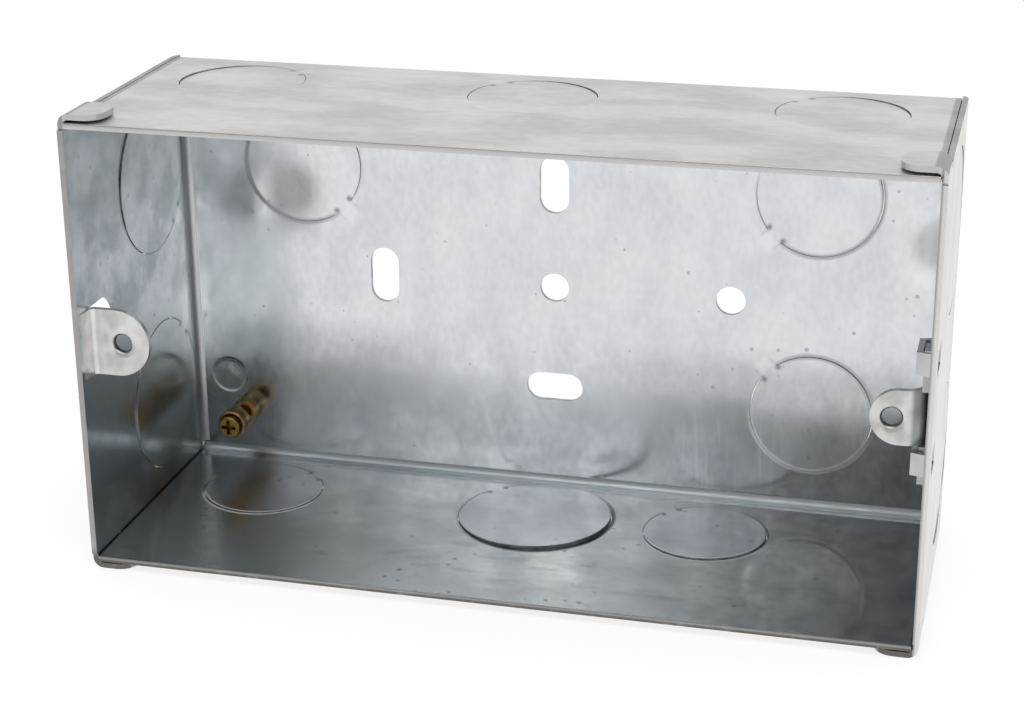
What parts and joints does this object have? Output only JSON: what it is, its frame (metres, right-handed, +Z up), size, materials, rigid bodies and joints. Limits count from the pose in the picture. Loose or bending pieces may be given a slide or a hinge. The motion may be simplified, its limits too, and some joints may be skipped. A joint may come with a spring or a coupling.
{
  "type": "two-gang electrical box",
  "caption": "Open-fronted flush wall box folded from galvanised sheet, with lanced conduit knockouts, wall fixing slots, a fixed and a sliding accessory lug and a brass earth terminal.",
  "frame": {"origin": "centre of the back plate's outer face, which is the middle of the centre fixing hole", "axes": "+Z up, +Y out of the back towards the wall, the open front faces -Y, +X to the right seen from the front"},
  "size_m": [0.133, 0.047, 0.076],
  "materials": {
    "galvanised_sheet": "hot-dip galvanised sheet, satin with faint mottling",
    "galvanised_lug": "zinc plated, satin",
    "post_brass": "turned brass, slightly dulled",
    "screw_brass": "turned brass"
  },
  "bodies": {
    "box": {"box_body": "galvanised_sheet", "earth_post": "post_brass"},
    "lug": {"adjustable_lug": "galvanised_lug"},
    "screw": {"terminal_screw": "screw_brass"}
  },
  "joints": [
    {"name": "lug_slide", "type": "slide", "parent": "box", "child": "lug", "axis": [0, 0, 1], "range_m": [-0.00055, 0.00285]},
    {"name": "screw_travel", "type": "slide", "parent": "box", "child": "screw", "axis": [0, 1, 0], "range_m": [-0.0014, 0.003]}
  ]
}
